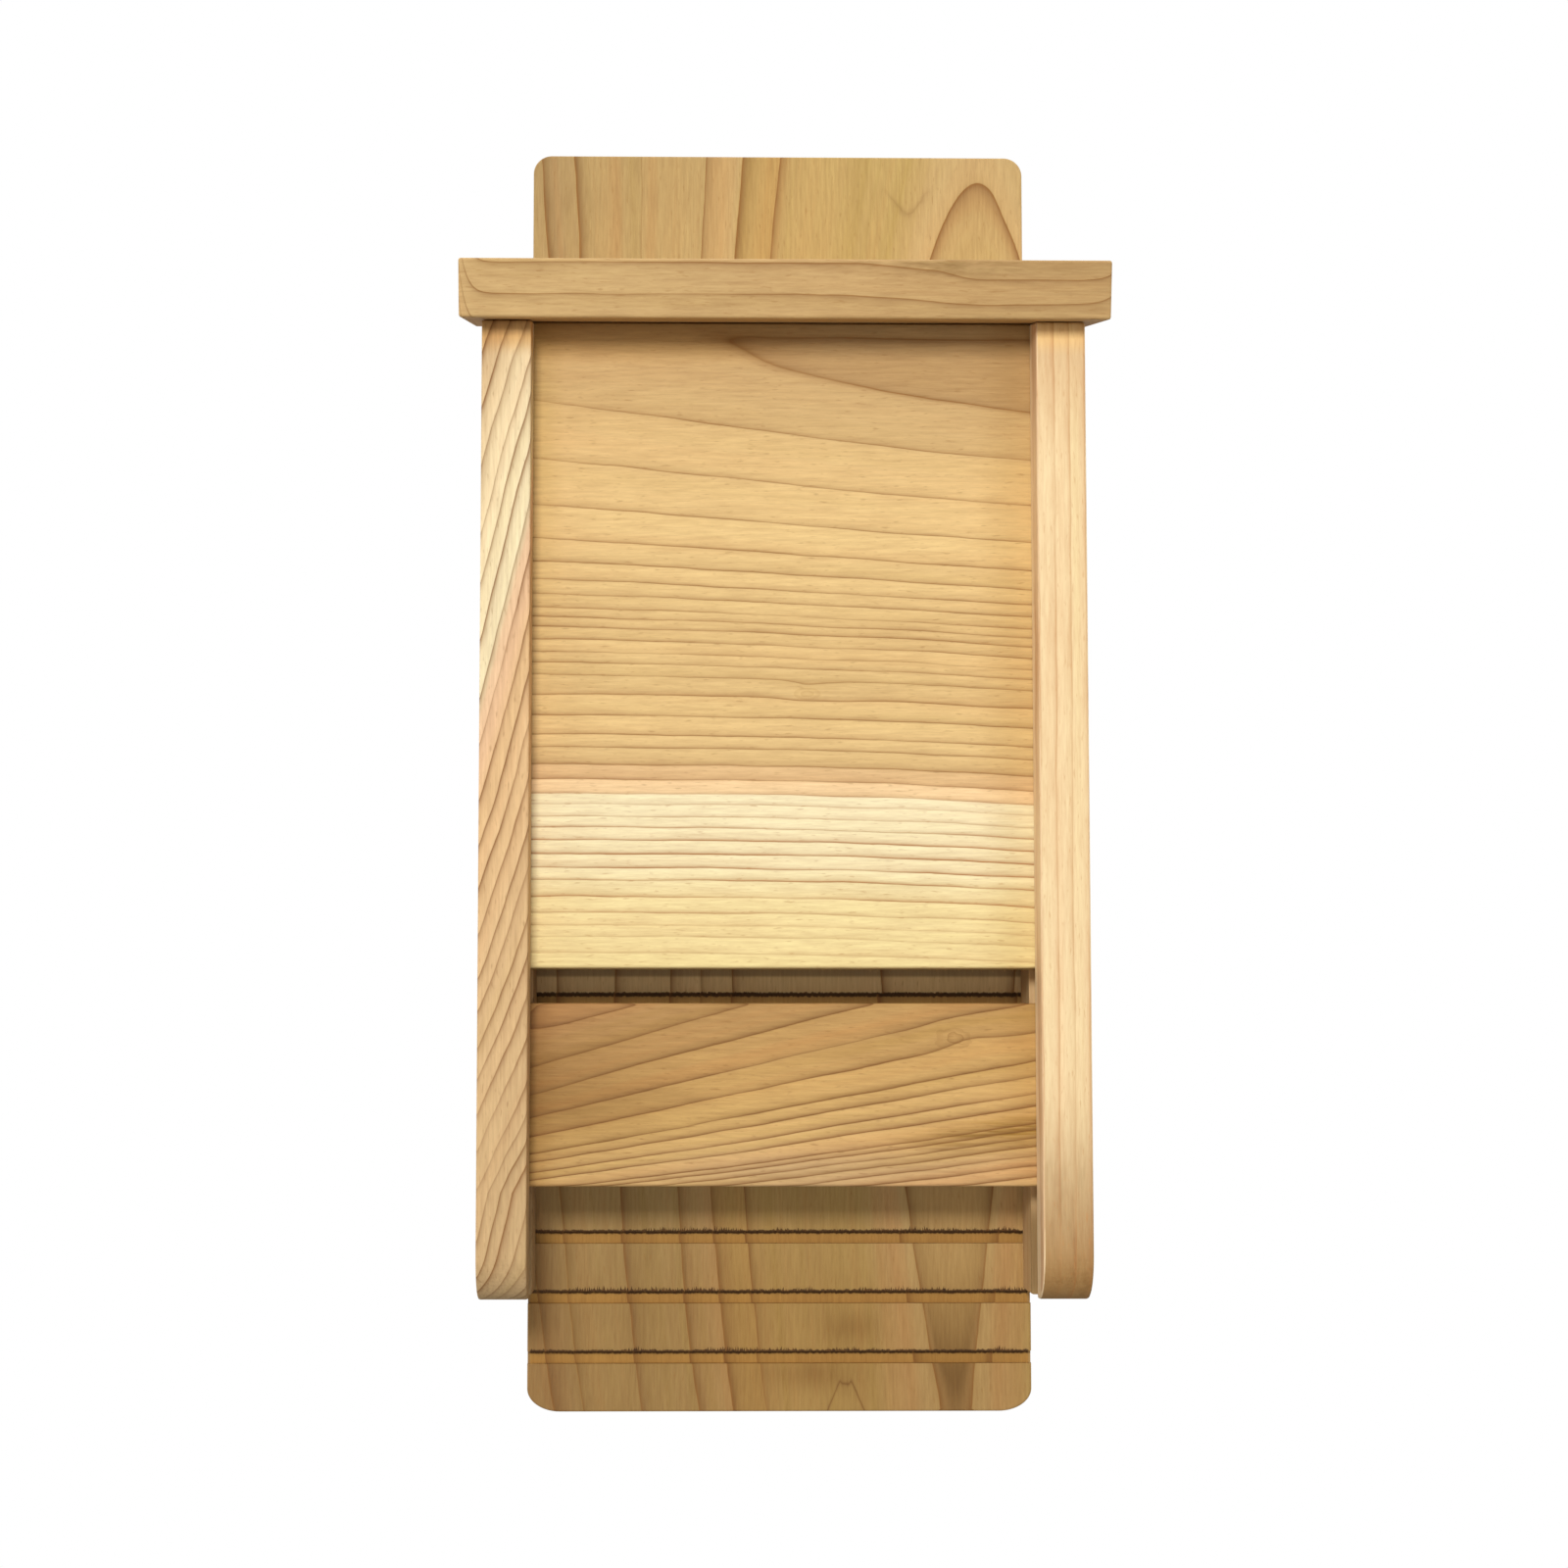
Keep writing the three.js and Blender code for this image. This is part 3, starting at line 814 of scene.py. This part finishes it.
BOARDS = {
    "upper_front_board": Cedar(
        "front_cedar", CROSSWISE, (FRONT_PITH, -0.01293, -0.1608, -0.435), (0.08836, -0.00605),
        tones((0.0, 201, 165, 111), (45.6, 201, 165, 111), (46.6, 214, 181, 125),
              (55.0, 219, 185, 127), (56.2, 229, 195, 135), (68.5, 232, 198, 137),
              (82.0, 236, 203, 141), (149.0, 235, 203, 141), (160.0, 239, 207, 145),
              (168.2, 231, 197, 137), (169.0, 236, 199, 145), (173.7, 239, 202, 147),
              (174.3, 250, 216, 165), (179.0, 252, 219, 168), (179.7, 254, 244, 201),
              (208.0, 254, 242, 194), (219.0, 250, 233, 173), (250.0, 247, 228, 164)),
        radii=(46.17, 55.5, 68.9, 81.5, 91.3, 98.4, 104.1, 108.6, 113.0, 116.1, 119.4, 123.8,
               128.1, 131.8, 136.0, 142.9, 150.4, 157.6, 162.1, 168.6, 174.0, 179.3, 183.2,
               188.0, 192.1, 196.8, 201.9, 207.1, 211.7, 218.1, 224.1, 228.8, 233.1, 239.0),
        face_depth=146.46 * MM, waviness=0.35 * MM, bend=front_bend, line=0.9,
        line_width=0.32 * MM, lead=0.38, level=0.85, hush=front_hush,
        pale=(179.0 * MM, rgb(164, 100, 34)), stain_and_shade=front_stain_and_shade, mottle=0.1, banding=0.15,
    ),
    "lower_front_board": Cedar(
        "lower_front_cedar", CROSSWISE, (-0.05265, 0.46397, -0.3185, -0.716),
        (-0.09824, 0.091555),
        tones((0.0, 214, 172, 116), (32.6, 212, 170, 114), (33.4, 192, 150, 96),
              (50.0, 196, 154, 95), (80.0, 220, 179, 111), (100.0, 234, 194, 126),
              (120.0, 237, 198, 137)),
        late=rgb(128, 84, 38),
        radii=(22.0, 33.0, 42.4, 50.3, 60.1, 70.4, 79.3, 87.7, 91.9, 97.2, 101.0, 106.3, 108.1,
               110.5, 113.2, 116.0, 119.0, 122.4, 126.0, 131.0),
        taper=(1.0, 2.9533, -4.779), waviness=0.6 * MM, bend=lower_bend, line=0.95,
        line_width=0.4 * MM, lead=0.6, level=0.95, stain_and_shade=lower_stain_and_shade, mottle=0.3, banding=0.5,
        seed=3.0,
    ),
    "back_board": Cedar(
        "back_cedar", LENGTHWISE, (0.06918, 0.02484, 0.10528),
        (-0.0123, -0.15072, -0.1206, 0.3472),
        tones((0.0, 218, 186, 124), (31.8, 218, 186, 124), (32.4, 228, 198, 138),
              (37.0, 226, 194, 134), (46.0, 216, 186, 118), (87.5, 216, 184, 118),
              (88.0, 210, 176, 108), (99.4, 212, 178, 112), (100.0, 214, 182, 124),
              (111.8, 212, 180, 120), (112.4, 202, 172, 114), (156.0, 203, 173, 115),
              (156.7, 194, 163, 110), (200.0, 188, 158, 104)),
        radii=(32.1, 87.8, 99.6, 112.0, 133.8, 156.3, 167.6, 182.0), waviness=1.6 * MM,
        wave_rate=11.0, bend=back_bend, line=1.0, line_width=0.5 * MM, lead=0.7,
        lead_length=2.6 * MM, level=0.85, hush=back_hush, stain_and_shade=back_stain_and_shade, mottle=0.3,
        banding=0.5, seed=7.0,
    ),
    "left_side_panel": Cedar(
        "left_cedar", LENGTHWISE, (0.017, 0.2717, -0.379, 1.486, 2.34), (-0.042, 0.0),
        tones((0.0, 210, 180, 132), (50.0, 213, 181, 132), (80.0, 222, 188, 138),
              (100.0, 232, 197, 146), (125.0, 240, 202, 150), (131.0, 248, 207, 162),
              (136.5, 252, 216, 174), (138.5, 255, 240, 196), (155.0, 253, 232, 186),
              # These last tones, darker at the top of the panel, are painted shade under the
              # roof.
              (167.0, 230, 203, 156), (180.0, 226, 198, 150)),
        late=rgb(136, 90, 42), rings=(5.4 * MM, 0.3, 0.8), face_depth=42.0 * MM,
        waviness=1.6 * MM, wave_rate=14.0, bend=left_bend, line=1.0, line_width=0.6 * MM,
        lead=0.42, hush=left_hush, stain_and_shade=left_roof_shade, seed=11.0,
    ),
    "right_side_panel": Cedar(
        "right_cedar", LENGTHWISE, (0.0, 0.0), (-0.084, 0.0),
        tones((0.0, 247, 225, 177), (130.0, 248, 227, 180)),
        late=rgb(196, 134, 76), rings=(6.0 * MM, 0.75, 0.10), waviness=0.8 * MM, line=0.55,
        lead=0.30, stain_and_shade=right_stain_and_shade, seed=13.0,
    ),
    "roof_board": Cedar(
        "roof_cedar", CROSSWISE, (0.075, 0.0), (-0.045, 0.0),
        tones((0.0, 210, 177, 121), (300.0, 208, 175, 120)),
        rings=(11.4 * MM, 0.0, 0.04), waviness=1.2 * MM, wave_rate=5.0, bend=roof_bend,
        line=1.0, level=0.9, stain_and_shade=roof_stain, mottle=0.4, seed=17.0,
    ),
}
woods = {name: cedar.material() for name, cedar in BOARDS.items()}
zinc = steel("nail_zinc")

for name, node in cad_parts.items():
    node.data.materials.clear()
    node.data.materials.append(woods.get(name, zinc))


# Loose fibres along edges.
FORWARD = Vector((0.0, -1.0, 0.0))
UP = Vector((0.0, 0.0, 1.0))
DOWN = Vector((0.0, 0.0, -1.0))
CHAMBER_SIDE = 95.5 * MM
SIDE_MARGIN = 1.5 * MM
VENT_SHARE = 0.45
SHORTEST_SHARE = 0.15
GROWTH_CHANGE = 0.28
SIDEWAYS_SHARE = 0.6
RIDGE_SHARE = 0.4


def spikes(name, rows, material, length, width, lean, step, seed):
    """Short loose fibres along straight edges. Each row is a first place, a last place and the
    way that its fibres point. A fibre is a thin spike with three sides."""
    chance = random.Random(seed)
    vertices, faces = [], []
    for first, last, way in rows:
        run = last - first
        along = run.normalized()
        done, growth = 0.0, 0.5
        while done < run.length:
            growth = growth + chance.uniform(-GROWTH_CHANGE, GROWTH_CHANGE)
            growth = min(max(growth, 0.0), 1.0)
            root = first + along * done
            half = along * (width * chance.uniform(0.5, 1.0) / 2)
            grown = length * (SHORTEST_SHARE + (1 - SHORTEST_SHARE) * growth)
            tip = way * (grown * chance.uniform(0.5, 1.0))
            tip = tip + along * (width * chance.uniform(-SIDEWAYS_SHARE, SIDEWAYS_SHARE))
            tip = tip + FORWARD * (lean * chance.uniform(0.3, 1.0))
            start = len(vertices)
            ridge = root + FORWARD * (width * RIDGE_SHARE)
            vertices += [root - half, root + half, ridge, root + tip]
            faces += [(start, start + 2, start + 1), (start, start + 1, start + 3),
                      (start + 1, start + 2, start + 3), (start + 2, start, start + 3)]
            done += step * chance.uniform(0.4, 1.8)
    mesh = bpy.data.meshes.new(name)
    mesh.from_pydata(vertices, [], faces)
    piece = bpy.data.objects.new(name, mesh)
    bpy.context.scene.collection.objects.link(piece)
    piece.data.materials.append(material)
    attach(piece, "root")


def groove_rows():
    """The upper edge of every groove, from panel to panel or, below them, from side to side."""
    rows = []
    for z in groove_edges[1::2]:
        if z < panel_bottom:
            low, high = back_low[0] + SIDE_MARGIN, back_high[0] - SIDE_MARGIN
        else:
            low, high = -CHAMBER_SIDE, CHAMBER_SIDE
        way = UP * VENT_SHARE if lower_board_top < z < upper_low[2] else UP
        rows.append((Vector((low, FACE, z)), Vector((high, FACE, z)), way))
    return rows


def splinter_row():
    """The lower rear edge of the upper front board."""
    y, z = upper_high[1] - 0.5 * MM, upper_low[2] + 0.3 * MM
    return Vector((-CHAMBER_SIDE, y, z)), Vector((CHAMBER_SIDE, y, z)), DOWN


spikes("groove_fibres", groove_rows(),
       frayed("scorched_fibre", rgb(66, 40, 14), rgb(120, 78, 32)),
       length=2.4 * MM, width=0.8 * MM, lean=0.5 * MM, step=0.65 * MM, seed=5)
spikes("edge_splinters", [splinter_row()],
       frayed("pale_fibre", rgb(150, 110, 60), rgb(226, 190, 130)),
       length=2.2 * MM, width=0.5 * MM, lean=0.8 * MM, step=3.2 * MM, seed=11)


# Camera: fitted to the photograph, with its viewpoint below the middle of the box.
LENS = 64.25
SENSOR = 36.0
CAMERA_PLACE = Vector((-37.66, -1140.71, -116.05)) * MM
CAMERA_YAW = math.radians(0.90)
CAMERA_RISE = math.radians(4.40)
CAMERA_SHIFT = (0.035, 0.04)

camera_data = bpy.data.cameras.new("camera")
camera_data.lens = LENS
camera_data.sensor_width = SENSOR
camera_data.shift_x, camera_data.shift_y = CAMERA_SHIFT
camera = bpy.data.objects.new("camera", camera_data)
bpy.context.scene.collection.objects.link(camera)
camera.location = CAMERA_PLACE
camera.rotation_euler = (math.pi / 2 + CAMERA_RISE, 0.0, -CAMERA_YAW)
bpy.context.scene.camera = camera


# Lamps. A level of 1 lights a surface that faces the lamp to its own colour.
KEY_PLACE = Vector((-0.20, -1.33, 0.285))
KEY_TARGET = Vector((0.0, -0.065, 0.05))
KEY_SIZE = 0.26
KEY_LEVEL = 0.67
# Each soft lamp's name, azimuth (0 from the front, 90 from the right), elevation, level and
# spread in degrees.
FILLS = (
    ("reveal_fill", -62, 5, 0.08, 40),
    ("low_fill", 0, -4, 0.14, 16),
    ("left_fill", -112, 25, 0.50, 50),
    ("right_fill", 112, 25, 0.50, 50),
    ("rear_fill", 180, 45, 0.25, 60),
    ("top_fill", 0, 88, 0.35, 20),
)


def hang(name, data, towards):
    """A lamp that shines from the direction towards."""
    lamp = bpy.data.objects.new(name, data)
    bpy.context.scene.collection.objects.link(lamp)
    lamp.rotation_mode = "QUATERNION"
    lamp.rotation_quaternion = towards.to_track_quat("Z", "Y")
    return lamp


def sun(name, azimuth, elevation, level, spread):
    data = bpy.data.lights.new(name, "SUN")
    data.energy = level * math.pi
    data.angle = math.radians(spread)
    a, e = math.radians(azimuth), math.radians(elevation)
    hang(name, data, Vector((math.sin(a) * math.cos(e), -math.cos(a) * math.cos(e), math.sin(e))))


def softbox(name, place, target, size, level):
    """A square lamp that gives its level at its target."""
    data = bpy.data.lights.new(name, "AREA")
    data.size = size
    towards = place - target
    data.energy = level * math.pi ** 2 * towards.length_squared
    hang(name, data, towards).location = place


softbox("key", KEY_PLACE, KEY_TARGET, KEY_SIZE, KEY_LEVEL)
for fill in FILLS:
    sun(*fill)


# Surround and floor.
SKY = 0.42
GROUND = 0.16
HORIZON = 0.6
WARM = rgb(255, 249, 240)
FLOOR_HEIGHT = -0.566
FLOOR_HALF = 1.38
FLOOR_SEEN = rgb(244, 244, 244)
FLOOR_LIT = rgb(120, 120, 120)
FLOOR_GRAIN = rgb(225, 225, 225)
FLOOR_GLOW = 0.4


def white_surround():
    """Soft grey light from all round, dimmer from below, seen as plain white by the camera,
    metal and glass."""
    world = bpy.data.worlds.new("surround")
    world.use_nodes = True
    tree = world.node_tree
    background = next(node for node in tree.nodes if node.type == "BACKGROUND")
    path = tree.nodes.new("ShaderNodeLightPath")
    seen = Wire(tree, path.outputs["Is Camera Ray"])
    for other in ("Is Glossy Ray", "Is Transmission Ray"):
        seen = seen.math("MAXIMUM", Wire(tree, path.outputs[other]))
    way = tree.nodes.new("ShaderNodeTexCoord")
    apart = tree.nodes.new("ShaderNodeSeparateXYZ")
    tree.links.new(way.outputs["Generated"], apart.inputs[0])
    level = Wire(tree, apart.outputs[2]).rise(-HORIZON, HORIZON) * (SKY - GROUND) + GROUND
    plug(tree, seen * level.less_from(1.0) + level, background.inputs["Strength"])
    plug(tree, blended(seen, WARM, WHITE), background.inputs["Color"])
    bpy.context.scene.world = world


def pale_floor():
    """A plain pale floor under the hanging box, seen almost white, with its soft shadow."""
    material, tree, shader, xyz = new_material("pale_floor")
    path = tree.nodes.new("ShaderNodeLightPath")
    seen = Wire(tree, path.outputs["Is Camera Ray"])
    grain = noise(vector(*xyz), scale=60.0) * 0.01
    shade = blended(seen, FLOOR_LIT, FLOOR_SEEN)
    plug(tree, blended(grain.size(), shade, FLOOR_GRAIN), shader.inputs["Base Color"])
    shader.inputs["Roughness"].default_value = 0.9
    shader.inputs["Emission Color"].default_value = WHITE
    plug(tree, seen * FLOOR_GLOW, shader.inputs["Emission Strength"])
    mesh = bpy.data.meshes.new("floor")
    corners = [(x * FLOOR_HALF, y * FLOOR_HALF, FLOOR_HEIGHT)
               for x, y in ((-1, -1), (1, -1), (1, 1), (-1, 1))]
    mesh.from_pydata(corners, [], [(0, 1, 2, 3)])
    floor = bpy.data.objects.new("floor", mesh)
    floor.data.materials.append(material)
    bpy.context.scene.collection.objects.link(floor)


white_surround()
pale_floor()

scene = bpy.context.scene
scene.view_settings.view_transform = "Standard"
